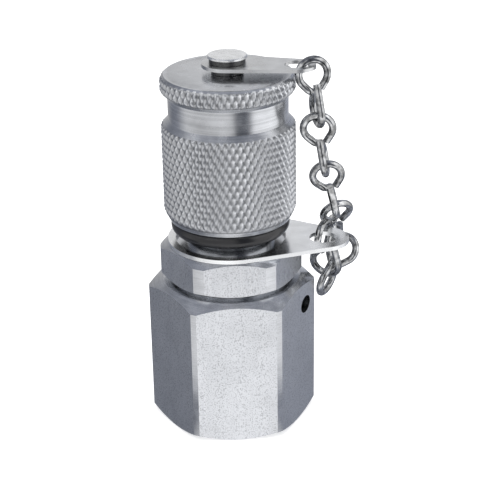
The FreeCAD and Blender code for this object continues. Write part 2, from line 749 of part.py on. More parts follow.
def draw_tab(sketch, big_radius, small_radius, reach):
    """Two round ends of a sheet tab, joined by straight tangent sides."""
    slant = math.acos((big_radius.value - small_radius.value) / reach.value)
    up = FreeCAD.Vector(0, 0, 1)
    big = Part.Circle(FreeCAD.Vector(0, 0, 0), up, big_radius.value)
    small = Part.Circle(FreeCAD.Vector(reach.value, 0, 0), up, small_radius.value)
    big_arc = Part.ArcOfCircle(big, slant, 2 * math.pi - slant)
    small_arc = Part.ArcOfCircle(small, -slant, slant)
    upper = Part.LineSegment(small_arc.EndPoint, big_arc.StartPoint)
    lower = Part.LineSegment(big_arc.EndPoint, small_arc.StartPoint)
    for edge in (big_arc, lower, small_arc, upper):
        sketch.addGeometry(edge, False)
    for first, end, second, start in ((0, 2, 1, 1), (1, 2, 2, 1), (2, 2, 3, 1), (3, 2, 0, 1)):
        sketch.addConstraint(Sketcher.Constraint("Tangent", first, end, second, start))
    sketch.addConstraint(Sketcher.Constraint("Coincident", 0, 3, -1, 1))
    place_point(sketch, 2, 3, reach, ORIGIN)
    for edge, radius in ((0, big_radius), (2, small_radius)):
        index = sketch.addConstraint(Sketcher.Constraint("Radius", edge, radius.value))
        sketch.setExpression("Constraints[%d]" % index, radius.formula)


def make_sheet_tab(label, foot, thickness, big_radius, small_radius, reach, holes, turn):
    body = new_body(label)
    sketch = new_sketch(body, "SheetProfile", "XY_Plane")
    sketch.AttachmentOffset = FreeCAD.Placement(FreeCAD.Vector(0, 0, foot.value), FreeCAD.Rotation())
    sketch.setExpression("AttachmentOffset.Base.z", foot.formula)
    draw_tab(sketch, big_radius, small_radius, reach)
    for across, radius in holes:
        draw_circle(sketch, across, ORIGIN, radius)
    pad(body, "Sheet", sketch, thickness)
    turn_body(body, turn)
    return body


def make_cap_strap():
    holes = [(ORIGIN, rivet_hole_radius), (strap_reach, size.strap_hole_dia / 2)]
    return make_sheet_tab("cap_strap", strap_foot, size.strap_thickness, size.strap_head_dia / 2,
                          size.strap_end_dia / 2, strap_reach, holes, size.strap_turn)


def make_chain_washer():
    holes = [(ORIGIN, ring_bore_dia / 2), (ear_reach, size.ear_hole_dia / 2)]
    return make_sheet_tab("chain_washer", ring_foot, size.ring_thickness, ring_dia / 2,
                          size.ear_dia / 2, ear_reach, holes, size.ear_turn)


def link_path():
    """Middle line of one link: an upper loop facing the front, whose left
    flank crosses over at the waist into a lower loop at right angles to it."""
    loop = (size.link_loop_dia.value - size.link_wire_dia.value) / 2
    middle = size.link_length.value / 2 - size.link_wire_dia.value / 2 - loop
    flank = math.radians(size.link_flank_angle.value)
    stub = math.radians(size.link_stub_angle.value)

    def upper(x, z):
        return FreeCAD.Vector(x, 0, z)

    def lower(y, z):
        return FreeCAD.Vector(0, y, -z)

    start = upper(loop * math.cos(flank), middle - loop * math.sin(flank))
    cut_end = start - upper(math.sin(flank), math.cos(flank)) * size.link_flank_length.value
    leave = upper(-loop * math.cos(flank), middle - loop * math.sin(flank))
    down = upper(math.sin(flank), -math.cos(flank))
    waist_in = leave + down * size.link_waist.value
    arrive = lower(loop * math.cos(flank), middle - loop * math.sin(flank))
    onward = lower(math.sin(flank), math.cos(flank))
    waist_out = arrive - onward * size.link_waist.value
    last = lower(-loop * math.cos(stub), middle - loop * math.sin(stub))
    stub_end = last + lower(math.sin(stub), -math.cos(stub)) * size.link_stub_length.value
    pull = (waist_out - waist_in).Length * 0.4
    bend = Part.BezierCurve()
    bend.setPoles([waist_in, waist_in + down * pull, waist_out - onward * pull, waist_out])
    return Part.Wire([
        Part.LineSegment(cut_end, start).toShape(),
        Part.Arc(start, upper(0, middle + loop), leave).toShape(),
        Part.LineSegment(leave, waist_in).toShape(),
        bend.toShape(),
        Part.LineSegment(waist_out, arrive).toShape(),
        Part.Arc(arrive, lower(0, middle + loop), last).toShape(),
        Part.LineSegment(last, stub_end).toShape(),
    ])


def link_solid():
    path = link_path()
    start = path.Edges[0].Vertexes[0].Point
    along = path.Edges[0].tangentAt(path.Edges[0].FirstParameter)
    section = Part.Wire([Part.makeCircle(size.link_wire_dia.value / 2, start, along)])
    return path.makePipeShell([section], True, False)


def link_turn(number):
    """Rotation of a link from upright to its place in the hanging chain."""
    out = math.radians(getattr(size, "link_%d_out_angle" % number).value)
    back = math.radians(getattr(size, "link_%d_back_angle" % number).value)
    turn = getattr(size, "link_%d_turn_angle" % number).value
    down = FreeCAD.Vector(math.sin(out) * math.cos(back), math.sin(back),
                          -math.cos(out) * math.cos(back))
    across = FreeCAD.Vector(1, 0, 0)
    lean = FreeCAD.Rotation(across, FreeCAD.Vector(0, 0, 0), down * -1, "ZXY")
    return lean * FreeCAD.Rotation(FreeCAD.Vector(0, 0, 1), turn)


def polar(reach, aside, turn, level):
    point = FreeCAD.Vector(reach, aside, level)
    return FreeCAD.Rotation(FreeCAD.Vector(0, 0, 1), turn.value).multVec(point)


def add_link(number, solid, waist, rotation):
    label = "chain_link_%d" % number
    link = doc.addObject("Part::Feature", label)
    link.Label = label
    link.Shape = solid
    link.Placement = FreeCAD.Placement(waist, rotation)
    return link


def make_chain():
    """Five links hang from the strap, the sixth hangs from the ear and its
    lower loop is caught in the lower loop of the fifth."""
    solid = link_solid()
    up = FreeCAD.Vector(0, 0, 1)
    wire = size.link_wire_dia.value
    loop = (size.link_loop_dia.value - wire) / 2
    inside = loop - wire / 2
    arm = size.link_length.value / 2 - wire / 2 - loop
    hang = 2 * loop - wire - size.link_play.value
    strap_loop = strap_reach.value + size.strap_hang.value
    upper_loop = polar(strap_loop, 0, size.strap_turn,
                       strap_top.value + size.strap_play.value - inside)
    lower_loop = None
    links = []
    for number in range(1, 6):
        rotation = link_turn(number)
        if lower_loop is not None:
            pull = rotation_before.multVec(FreeCAD.Vector(1, 0, 0))
            pull = pull.cross(rotation.multVec(FreeCAD.Vector(0, 1, 0))).normalize()
            if pull.z > 0:
                pull = pull * -1
            upper_loop = lower_loop + pull * hang
        waist = upper_loop - rotation.multVec(up) * arm
        lower_loop = waist - rotation.multVec(up) * arm
        rotation_before = rotation
        links.append(add_link(number, solid, waist, rotation))
    rotation = link_turn(6)
    upper_loop = polar(ear_reach.value, size.ear_hang.value, size.ear_turn,
                       ring_top.value + size.ear_play.value - inside)
    waist = upper_loop - rotation.multVec(up) * arm
    links.append(add_link(6, solid, waist, rotation))
    return links


def check_and_write(pieces):
    doc.recompute()
    for item in doc.Objects:
        if "Invalid" in item.State or "Error" in item.State:
            raise RuntimeError("%s is %s" % (item.Name, item.State))
    for piece in pieces:
        if piece.Shape.isNull() or not piece.Shape.isValid() or not piece.Shape.Solids:
            raise RuntimeError("%s has no good solid" % piece.Label)
    os.makedirs("parts", exist_ok=True)
    for piece in pieces:
        piece.Shape.exportStep("parts/%s.step" % piece.Label)
        print("%-18s solids %d volume %9.2f" % (piece.Label, len(piece.Shape.Solids),
                                                piece.Shape.Volume))


make_swivel_nut()
make_coupling_body()
make_retaining_wire()
make_seals()
make_valve_poppet()
make_valve_spring()
make_spring_retainer()
cap = make_cap()
make_cap_rivet()
make_cap_strap()
make_chain_washer()
chain = make_chain()
blanks = ("cap_blank",)
pieces = [item for item in doc.Objects
          if item.isDerivedFrom("PartDesign::Body") and item.Label not in blanks]
check_and_write(pieces + [cap] + chain)
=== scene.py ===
import math

import bpy
import numpy as np
from mathutils import Matrix, Vector


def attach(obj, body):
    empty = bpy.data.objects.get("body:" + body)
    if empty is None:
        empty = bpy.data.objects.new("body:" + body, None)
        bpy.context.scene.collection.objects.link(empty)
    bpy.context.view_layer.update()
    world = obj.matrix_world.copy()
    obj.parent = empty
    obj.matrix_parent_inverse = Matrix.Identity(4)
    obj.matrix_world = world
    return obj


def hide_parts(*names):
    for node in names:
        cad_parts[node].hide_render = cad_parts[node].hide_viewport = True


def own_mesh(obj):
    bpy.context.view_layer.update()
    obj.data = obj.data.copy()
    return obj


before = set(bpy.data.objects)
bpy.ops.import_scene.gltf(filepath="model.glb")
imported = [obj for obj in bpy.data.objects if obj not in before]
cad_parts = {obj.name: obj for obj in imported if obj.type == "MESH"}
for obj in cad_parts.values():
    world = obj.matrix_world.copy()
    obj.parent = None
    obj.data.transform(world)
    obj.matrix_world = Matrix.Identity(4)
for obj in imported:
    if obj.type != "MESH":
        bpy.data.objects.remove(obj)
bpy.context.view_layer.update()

# The part's sizes below are in mm, the set's and the camera's in metres
MM = 0.001
TURN = 2 * math.pi

# Radii of the knurl, for its shape and for the painted shade down its grooves
KNURL_ROOT = 9.28
KNURL_CREST = 9.7


# Small helpers for shader nodes

class Shader:
    """Builds one material's nodes around its Principled shader."""

    def __init__(self, name, color, metallic, roughness):
        self.material = bpy.data.materials.new(name)
        self.material.use_nodes = True
        self.nodes = self.material.node_tree.nodes
        self.links = self.material.node_tree.links
        self.surface = self.nodes["Principled BSDF"]
        self.surface.inputs["Base Color"].default_value = (*color, 1.0)
        self.surface.inputs["Metallic"].default_value = metallic
        self.surface.inputs["Roughness"].default_value = roughness

    def node(self, kind, **inputs):
        made = self.nodes.new(kind)
        for name, value in inputs.items():
            made.inputs[name].default_value = value
        return made

    def link(self, source, target):
        self.links.new(source, target)

    def drive(self, **sources):
        """Link sockets of the surface by name, with _ for a space."""
        for name, source in sources.items():
            self.link(source, self.surface.inputs[name.replace("_", " ")])

    def place(self, stretch=(1.0, 1.0, 1.0)):
        """Coordinates that stay with the piece, in metres."""
        place = self.nodes.new("ShaderNodeTexCoord")
        scale = self.node("ShaderNodeMapping", Scale=stretch)
        self.link(place.outputs["Object"], scale.inputs["Vector"])
        return scale.outputs["Vector"]

    def reach(self):
        """Distance from the upright axis, in metres."""
        made = self.nodes.new("ShaderNodeVectorMath")
        made.operation = "LENGTH"
        self.link(self.place((1.0, 1.0, 0.0)), made.inputs[0])
        return made.outputs["Value"]

    def noise(self, size_mm, stretch=(1.0, 1.0, 1.0), detail=3.0):
        made = self.node("ShaderNodeTexNoise", Scale=1.0 / (size_mm * MM), Detail=detail)
        self.link(self.place(stretch), made.inputs["Vector"])
        return made.outputs["Fac"]

    def ramp(self, value, stops):
        made = self.nodes.new("ShaderNodeValToRGB")
        band = made.color_ramp
        while len(band.elements) < len(stops):
            band.elements.new(0.5)
        for element, (at, shade) in zip(band.elements, stops):
            element.position = at
            element.color = (*shade, 1.0)
        self.link(value, made.inputs["Fac"])
        return made.outputs["Color"]

    def math(self, operation, first, second):
        made = self.nodes.new("ShaderNodeMath")
        made.operation = operation
        for socket, value in zip(made.inputs, (first, second)):
            if isinstance(value, float):
                socket.default_value = value
            else:
                self.link(value, socket)
        return made.outputs[0]

    def spread(self, value, low, high, new_low, new_high):
        made = self.nodes.new("ShaderNodeMapRange")
        for name, number in (("From Min", low), ("From Max", high),
                             ("To Min", new_low), ("To Max", new_high)):
            made.inputs[name].default_value = number
        self.link(value, made.inputs["Value"])
        return made.outputs["Result"]

    def blend(self, factor, first, second):
        made = self.nodes.new("ShaderNodeMix")
        made.data_type = "RGBA"
        self.link(factor, made.inputs["Factor"])
        self.link(first, made.inputs["A"])
        self.link(second, made.inputs["B"])
        return made.outputs["Result"]

    def multiply(self, first, second):
        made = self.nodes.new("ShaderNodeMix")
        made.data_type = "RGBA"
        made.blend_type = "MULTIPLY"
        made.inputs["Factor"].default_value = 1.0
        self.link(first, made.inputs["A"])
        self.link(second, made.inputs["B"])
        return made.outputs["Result"]

    def bump(self, height, strength, distance_mm, under=None):
        made = self.node("ShaderNodeBump", Strength=strength, Distance=distance_mm * MM)
        self.link(height, made.inputs["Height"])
        if under is not None:
            self.link(under, made.inputs["Normal"])
        return made.outputs["Normal"]


def grey(level, tint=(1.0, 1.0, 1.0)):
    return tuple(level * part for part in tint)


COOL = (0.965, 0.985, 1.02)
NEUTRAL = (0.99, 1.0, 1.005)
RUBBER = (1.0, 1.0, 1.15)


def turned_steel(name, level, roughness, ring_mm=0.12, depth=0.12, tint=COOL):
    """Turned and zinc plated: fine rings round the axis, faint cloudiness."""
    made = Shader(name, grey(level, tint), 1.0, roughness)
    rings = made.noise(ring_mm, (0.02, 0.02, 1.0), 2.0)
    clouds = made.noise(2.2, (1.0, 1.0, 1.0), 4.0)
    shade = made.ramp(clouds, [(0.3, grey(level * 0.88, tint)), (0.7, grey(level * 1.08, tint))])
    streaks = made.ramp(rings, [(0.35, grey(1.0 - depth)), (0.6, grey(1.0))])
    made.drive(Base_Color=made.multiply(shade, streaks),
               Roughness=made.spread(clouds, 0.3, 0.7, roughness * 0.8, roughness * 1.25),
               Normal=made.bump(rings, depth, 0.05))
    return made.material


def drawn_steel(name, level, roughness, tint=COOL):
    """Drawn hexagon bar: fine pitting all over and faint marks along it."""
    made = Shader(name, grey(level, tint), 1.0, roughness)
    pits = made.noise(0.16, (1.0, 1.0, 0.8), 3.0)
    grain = made.noise(0.5, (1.0, 1.0, 0.12), 3.0)
    patches = made.noise(5.0, (1.0, 1.0, 1.0), 3.0)
    shade = made.ramp(pits, [(0.36, grey(level * 0.62, tint)), (0.47, grey(level * 0.97, tint)),
                             (0.75, grey(level * 1.04, tint))])
    patchy = made.ramp(patches, [(0.3, grey(0.9)), (0.7, grey(1.0))])
    pitted = made.bump(pits, 0.25, 0.04)
    made.drive(Base_Color=made.multiply(shade, patchy),
               Roughness=made.spread(grain, 0.3, 0.7, roughness * 0.85, roughness * 1.2),
               Normal=made.bump(grain, 0.12, 0.05, pitted))
    return made.material


def smooth_steel(name, level, roughness, tint=NEUTRAL, grain_mm=0.6, contrast=0.18):
    """Bright wire, sheet and small turned parts."""
    made = Shader(name, grey(level, tint), 1.0, roughness)
    clouds = made.noise(grain_mm, (1.0, 1.0, 1.0), 4.0)
    shade = made.ramp(clouds, [(0.3, grey(level * (1.0 - contrast), tint)),
                               (0.7, grey(level * (1.0 + contrast / 2), tint))])
    made.drive(Base_Color=shade,
               Roughness=made.spread(clouds, 0.3, 0.7, roughness * 0.75, roughness * 1.3),
               Normal=made.bump(clouds, 0.08, 0.04))
    return made.material


def knurled_steel(name, level, roughness, tint=COOL):
    """Rolled pyramids, bright on their crests, with painted shade darkening them down into the
    grooves.
    """
    made = Shader(name, grey(level, tint), 1.0, roughness)
    depth = made.spread(made.reach(), KNURL_ROOT * MM, KNURL_CREST * MM, 0.0, 1.0)
    # Painted shade: the colour darkens from the crests down to the root of the grooves
    shade = made.ramp(depth, [(0.0, grey(level * 0.3, tint)), (0.28, grey(level * 0.75, tint)),
                              (0.5, grey(level * 0.95, tint)), (1.0, grey(level * 1.03, tint))])
    clouds = made.noise(1.2, (1.0, 1.0, 1.0), 4.0)
    cloudy = made.ramp(clouds, [(0.3, grey(0.85)), (0.7, grey(1.0))])
    made.drive(Base_Color=made.multiply(shade, cloudy), Normal=made.bump(clouds, 0.08, 0.04))
    return made.material


def black_rubber(name):
    made = Shader(name, grey(0.009, RUBBER), 0.0, 0.18)
    clouds = made.noise(0.8, (1.0, 1.0, 1.0), 3.0)
    made.drive(Roughness=made.spread(clouds, 0.3, 0.7, 0.13, 0.24),
               Normal=made.bump(clouds, 0.05, 0.03))
    return made.material


looks = {
    "nut": drawn_steel("nut_flats", 0.74, 0.32),
    "nut_turned": turned_steel("nut_turned", 0.68, 0.22),
    "body": drawn_steel("body_flats", 0.74, 0.30),
    "body_turned": turned_steel("body_turned", 0.72, 0.2),
    "thread": turned_steel("thread", 0.6, 0.25, 0.15, 0.1),
    # Painted shade: a darker copy of the turned steel for the body's neck, in the cap's shadow
    "neck": turned_steel("neck_turned_shade", 0.42, 0.10, 0.15, 0.08),
    "knurl": knurled_steel("cap_knurl", 0.57, 0.33),
    "cap_turned": turned_steel("cap_turned", 0.66, 0.24, 0.3, 0.2),
    "rivet": smooth_steel("rivet", 0.88, 0.28, NEUTRAL, 0.8, 0.1),
    # Painted shade: a near-black copy of the steel for the rivet's neck under its head and its
    # collar under the strap
    "rivet_neck_shade": smooth_steel("rivet_neck_shade", 0.10, 0.3),
    "strap": smooth_steel("strap", 0.64, 0.30, NEUTRAL, 2.5, 0.12),
    # Painted light: the chain washer's steel is lighter than the strap's, for the brighter light
    # falling on it
    "ear_painted_light": smooth_steel("ear_painted_light", 0.96, 0.24, NEUTRAL, 2.5, 0.1),
    "chain": smooth_steel("chain_wire", 0.52, 0.07, NEUTRAL, 0.9, 0.8),
    "wire": smooth_steel("retaining_wire", 0.5, 0.25),
    "spring": smooth_steel("spring_wire", 0.42, 0.25),
    "valve": turned_steel("valve_metal", 0.68, 0.2, 0.15, 0.1),
    "black_seal": black_rubber("black_seal"),
}


# Looks of the CAD pieces

NODE_LOOKS = {
    "swivel_nut": "nut",
    "coupling_body": "body",
    "retaining_wire": "wire",
    "cone_seal_ring": "black_seal",
    "cap_seal_ring": "black_seal",
    "probe_seal_ring": "black_seal",
    "poppet_seal": "black_seal",
    "valve_poppet": "valve",
    "valve_spring": "spring",
    "spring_retainer": "valve",
    "cap_rivet": "rivet",
    "cap_strap": "strap",
    # Painted light: the chain washer's lighter steel stands in for the light on it
    "chain_washer": "ear_painted_light",
}
for number in range(1, 7):
    NODE_LOOKS["chain_link_%d" % number] = "chain"

NUT_FLATS = 22.0
BODY_FLATS = 19.0
FLAT_TOLERANCE = 0.02
BAND_TOLERANCE = 0.15

# Least length of a normal's level part, for its face to count as upright
FLAT_UPRIGHT = 0.95
BAND_UPRIGHT = 0.9


def is_turned(polygon, across_flats):
    """True for a face of a hexagon piece that lies on no flat of the bar."""
    sideways = polygon.normal.xy.length
    if sideways < FLAT_UPRIGHT:
        return True
    distance = polygon.center.xy.dot(polygon.normal.xy) / sideways
    return abs(distance - across_flats / 2 * MM) > FLAT_TOLERANCE * MM


def in_band(polygon, radius, low, high):
    """True for an upright face at one radius, between two heights."""
    upright = polygon.normal.xy.length > BAND_UPRIGHT
    at_radius = abs(polygon.center.xy.length - radius * MM) < BAND_TOLERANCE * MM
    return upright and at_radius and low * MM < polygon.center.z < high * MM


def dress(node, look):
    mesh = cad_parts[node].data
    mesh.materials.clear()
    mesh.materials.append(looks[look])


def dress_hexagon(node, turned_look, across_flats):
    """Give the turned faces of a hexagon piece their own look."""
    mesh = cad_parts[node].data
    mesh.materials.append(looks[turned_look])
    for polygon in mesh.polygons:
        if is_turned(polygon, across_flats):
            polygon.material_index = 1


def dress_band(node, look, radius, low, high):
    """Give one round upright face its own look."""
    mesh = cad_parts[node].data
    mesh.materials.append(looks[look])
    for polygon in mesh.polygons:
        if in_band(polygon, radius, low, high):
            polygon.material_index = len(mesh.materials) - 1


for node, look in NODE_LOOKS.items():
    dress(node, look)
dress_hexagon("swivel_nut", "nut_turned", NUT_FLATS)
dress_hexagon("coupling_body", "body_turned", BODY_FLATS)
# Painted shade on the body's neck below the cap
dress_band("coupling_body", "neck", 6.5, 28.3, 32.8)
# Painted shade on the rivet's neck under its head, then on its collar under the strap
dress_band("cap_rivet", "rivet_neck_shade", 2.6, 55.0, 56.4)
dress_band("cap_rivet", "rivet_neck_shade", 2.3, 53.9, 55.0)


# Helpers for new pieces

def add_object(name, data):
    made = bpy.data.objects.new(name, data)
    bpy.context.scene.collection.objects.link(made)
    return made


def new_mesh(name, points, faces, materials, kinds):
    """A mesh whose faces take the materials that kinds numbers."""
    mesh = bpy.data.meshes.new(name)
    mesh.from_pydata(points, [], faces)
    for material in materials:
        mesh.materials.append(material)
    mesh.polygons.foreach_set("material_index", np.array(kinds, dtype=np.int32))
    mesh.update()
    return mesh


def smooth(mesh, sharp_degrees):
    mesh.shade_smooth()
    mesh.set_sharp_from_angle(angle=math.radians(sharp_degrees))


# The cap, with its diamond knurl

CAP_FOOT = 32.3
CAP_TOP = 53.9
GROOVE_FOOT = 47.35
GROOVE_TOP = 50.7
RIM_EDGE = 53.4

# Height and radius of the turned outside, then radius and height of the inside
CAP_OUTSIDE = [(CAP_FOOT, 8.95), (33.8, 9.7), (46.3, 9.7), (GROOVE_FOOT, 8.65),
               (GROOVE_TOP, 8.65), (51.75, 9.7), (RIM_EDGE, 9.7), (CAP_TOP, 9.1)]
CAP_INSIDE = [(9.0, 53.88), (8.55, 53.83), (8.4, 53.88), (3.0, 53.89), (1.55, 53.89),
              (1.55, 51.3), (6.0, 51.3), (6.0, 47.3), (8.06, 47.3), (8.06, 32.7), (8.46, 32.3)]

KNURL_COUNT = 56
KNURL_HEIGHT = 1.89
KNURL_ROW = KNURL_HEIGHT / 14
KNURL_MARGIN = 0.02
CAP_SEGMENTS = 10 * KNURL_COUNT
CAP_SHARP_DEGREES = 28

# Weights of the sharp and the softened pyramid, and a gain that flattens the crests
KNURL_SHARP = 0.4
KNURL_SOFT = 0.3
KNURL_GAIN = 1.2


def knurl_rows():
    heights = list(np.arange(CAP_FOOT, GROOVE_FOOT, KNURL_ROW))
    heights += list(np.linspace(GROOVE_FOOT, GROOVE_TOP, 8))
    heights += list(np.arange(GROOVE_TOP + 0.1, RIM_EDGE, KNURL_ROW))
    heights += [RIM_EDGE, 53.6, 53.75, CAP_TOP]
    return np.array(sorted(set(np.round(heights, 4))))


def knurl_radius(angle, height):
    """Radius of the knurl's pyramids, before the chamfers and the groove cut them."""
    across = angle * KNURL_COUNT / TURN
    along = height / KNURL_HEIGHT
    first = 1 - np.abs(((across + along) % 1.0) - 0.5) * 2
    second = 1 - np.abs(((across - along) % 1.0) - 0.5) * 2
    ridge = np.minimum(first, second) * KNURL_SHARP + (first + second) * KNURL_SOFT
    return KNURL_ROOT + (KNURL_CREST - KNURL_ROOT) * np.minimum(ridge * KNURL_GAIN, 1.0)


def ring_of_points(radius, angles, height):
    return np.column_stack([radius * np.cos(angles), radius * np.sin(angles),
                            np.full(len(angles), height)])


def cap_mesh():
    """Rings of points up the outside and down the inside, closed on themselves."""
    heights = knurl_rows()
    profile = np.interp(heights, [height for height, _ in CAP_OUTSIDE],
                        [radius for _, radius in CAP_OUTSIDE])
    angles = np.linspace(0, TURN, CAP_SEGMENTS, endpoint=False)
    grid_angle, grid_height = np.meshgrid(angles, heights)
    turned = profile[:, None]
    knurled = np.minimum(turned, knurl_radius(grid_angle, grid_height))
    outside = np.where(turned < KNURL_ROOT + KNURL_MARGIN, turned, knurled)
    rings = [ring_of_points(radius, angles, height) for radius, height in zip(outside, heights)]
    rings += [ring_of_points(radius, angles, height) for radius, height in CAP_INSIDE]
    faces = []
    kinds = []
    for low in range(len(rings)):
        high = (low + 1) % len(rings)
        is_knurl = low < len(heights) - 1 and min(profile[low], profile[low + 1]) > KNURL_ROOT
        for left in range(CAP_SEGMENTS):
            right = (left + 1) % CAP_SEGMENTS
            faces.append((low * CAP_SEGMENTS + left, low * CAP_SEGMENTS + right,
                          high * CAP_SEGMENTS + right, high * CAP_SEGMENTS + left))
            kinds.append(is_knurl)
    points = np.vstack(rings) * MM
    return new_mesh("knurled_cap", points.tolist(), faces,
                    [looks["cap_turned"], looks["knurl"]], kinds)


def add_cap():
    cap = add_object("knurled_cap", cap_mesh())
    smooth(cap.data, CAP_SHARP_DEGREES)
    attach(cap, "cap")
    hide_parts("cap")


add_cap()


# Screw threads on the port and in the nut

THREAD_STEP = 0.2
THREAD_COLUMNS = 96
THREAD_RUN_OUT = 1.0
THREAD_SHARP_DEGREES = 18

# Shares of half a pitch that the crest and the flank take
THREAD_CREST = 0.14
THREAD_FLANK = 0.72

# Steps to the metre that tell points apart, and a rim's tolerance in metres
WELD_STEPS = 1e7
RIM_TOLERANCE = 1e-6


def without_band(mesh, radius, low, high):
    """A mesh less one round face: points, faces, their materials, and the rim's points."""
    points, numbers, faces, kinds, band = [], {}, [], [], set()
    for polygon in mesh.polygons:
        face = []
        for corner in polygon.vertices:
            place = mesh.vertices[corner].co
            key = tuple(round(part * WELD_STEPS) for part in place)
            if key not in numbers:
                numbers[key] = len(points)
                points.append(tuple(place))
            face.append(numbers[key])
        if in_band(polygon, radius, low, high):
            band.update(face)
        elif len(set(face)) > 2:
            faces.append(tuple(face))
            kinds.append(polygon.material_index)
    return points, faces, kinds, band


def angle_of(point):
    return math.atan2(point[1], point[0])


def rim(points, band, height):
    """The points of the band at one height in metres, in order of angle."""
    level = [number for number in band if abs(points[number][2] - height) < RIM_TOLERANCE]
    return sorted(level, key=lambda number: angle_of(points[number]))


def thread_rings(points, foot, top, radius, pitch, depth):
    """Adds rings of points on a screw's turns between two heights in metres."""
    rings = []
    steps = round((top - foot) / MM / THREAD_STEP)
    for step in range(1, steps):
        height = foot + (top - foot) * step / steps
        run_out = min(height - foot, top - height) / MM / THREAD_RUN_OUT
        ring = []
        for column in range(THREAD_COLUMNS):
            angle = TURN * (column / THREAD_COLUMNS - 0.5)
            phase = height / MM / pitch - angle / TURN
            off_crest = (abs(phase % 1.0 - 0.5) * 2 - THREAD_CREST) / THREAD_FLANK
            cut = depth * min(max(off_crest, 0.0), 1.0) * min(run_out, 1.0)
            reach = (radius - cut) * MM
            ring.append(len(points))
            points.append((reach * math.cos(angle), reach * math.sin(angle), height))
        rings.append(ring)
    return rings


def stitch(lower, upper, points):
    """Triangles between two rings of point numbers, each in order of angle."""
    low_angles, high_angles = ([angle_of(points[number]) for number in ring]
                               for ring in (lower, upper))
    low_angles.append(low_angles[0] + TURN)
    high_angles.append(high_angles[0] + TURN)
    faces = []
    low = high = 0
    while low < len(lower) or high < len(upper):
        corner, over = lower[low % len(lower)], upper[high % len(upper)]
        low_is_next = low < len(lower) and (
            high == len(upper) or low_angles[low + 1] <= high_angles[high + 1])
        if low_is_next:
            low += 1
            faces.append((corner, lower[low % len(lower)], over))
        else:
            high += 1
            faces.append((corner, upper[high % len(upper)], over))
    return faces


def cut_thread(node, body, radius, low, high, pitch, depth):
    """A copy of a piece with a screw thread's turns in one of its round faces.

    A negative depth cuts outwards, for a thread in a bore.
    """
    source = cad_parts[node]
    points, faces, kinds, band = without_band(source.data, radius, low, high)
    foot = min(points[number][2] for number in band)
    top = max(points[number][2] for number in band)
    rings = [rim(points, band, foot)]
    rings += thread_rings(points, foot, top, radius, pitch, depth)
    rings.append(rim(points, band, top))
    for lower, upper in zip(rings, rings[1:]):
        turns = stitch(lower, upper, points)
        faces += turns if depth > 0 else [face[::-1] for face in turns]
        kinds += [len(source.data.materials)] * len(turns)
    materials = list(source.data.materials) + [looks["thread"]]
    name = node + "_threaded"
    mesh = new_mesh(name, points, faces, materials, kinds)
    mesh.validate()
    smooth(mesh, THREAD_SHARP_DEGREES)
    piece = add_object(name, mesh)
    piece.matrix_world = source.matrix_world.copy()
    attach(piece, body)
    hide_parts(node)


cut_thread("swivel_nut", "nut", 8.19, 0.9, 11.0, 1.5, -0.75)
cut_thread("coupling_body", "coupling", 8.0, 33.2, 46.8, 2.0, 0.7)


# The valve spring, copied onto a mesh of its own; the real spring shortens as a probe opens the
# valve


def add_spring():
    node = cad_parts["valve_spring"]
    spring = add_object("coil_spring", node.data.copy())
    spring.matrix_world = node.matrix_world.copy()
    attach(spring, "coupling")
    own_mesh(spring)
    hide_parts("valve_spring")


add_spring()


# Floor, light tent, lamps and world

TARGET = Vector((0.0, 0.0, 0.027))

FLOOR_HALF = 2.0
FLOOR_LEVEL = -0.00002
FLOOR_GLOW = 0.42


def add_floor():
    mesh = bpy.data.meshes.new("floor")
    corners = [(-1, -1), (1, -1), (1, 1), (-1, 1)]
    mesh.from_pydata([(x * FLOOR_HALF, y * FLOOR_HALF, 0) for x, y in corners],
                     [], [(0, 1, 2, 3)])
    plane = add_object("floor", mesh)
    plane.location = (0, 0, FLOOR_LEVEL)
    made = Shader("floor", grey(0.86), 0.0, 0.9)
    glow = made.node("ShaderNodeEmission", Color=(1, 1, 1, 1), Strength=FLOOR_GLOW)
    both = made.nodes.new("ShaderNodeAddShader")
    made.link(made.surface.outputs[0], both.inputs[0])
    made.link(glow.outputs[0], both.inputs[1])
    made.link(both.outputs[0], made.nodes["Material Output"].inputs["Surface"])
    mesh.materials.append(made.material)


# The tent's section, as reach and height: floor from the foot out, wall, ceiling
TENT_PROFILE = [(0.0105, 0.00002), (0.013, 0.00004), (0.02, 0.0004), (0.10, 0.002),
                (0.10, 0.16), (0.0, 0.17)]
TENT_SIDES = 96

# Brightness of the paper round the object: share of a full turn that starts
# behind it and goes by its left, front and right sides, at three reaches
TENT_FOOT = [(0.0, 0.3), (0.25, 0.225), (0.395, 0.225), (0.43, 0.85), (0.45, 1.15),
             (0.555, 1.15), (0.585, 0.9), (0.62, 0.32), (0.76, 0.32), (1.0, 0.3)]
TENT_NEAR = [(0.0, 0.6), (0.10, 0.3), (0.15, 0.225), (0.30, 0.225), (0.335, 0.75),
             (0.37, 0.9), (0.42, 1.15), (0.60, 1.15), (0.69, 0.95), (0.725, 0.36),
             (0.90, 0.32), (1.0, 0.6)]
TENT_FAR = [(0.0, 0.75), (0.07, 0.5), (0.14, 0.26), (0.205, 0.3), (0.27, 0.85), (0.345, 0.7),
            (0.42, 0.72), (0.45, 0.85), (0.515, 0.85), (0.545, 0.13), (0.605, 0.17), (0.63, 1.25),
            (0.77, 1.3), (0.82, 0.5), (0.90, 0.42), (1.0, 0.75)]
TENT_CEILING = 0.30

# Where one set of bands passes into the next, as reaches and then as heights
FOOT_TO_NEAR = (0.022, 0.034)
NEAR_TO_FAR = (0.070, 0.084)
WALL_TO_CEILING = (0.150, 0.162)


def paper(level):
    """Paper in shade is a little bluer than lit paper."""
    return grey(level, (0.93, 0.985, 1.15) if level < 0.5 else (1.0, 1.0, 1.01))


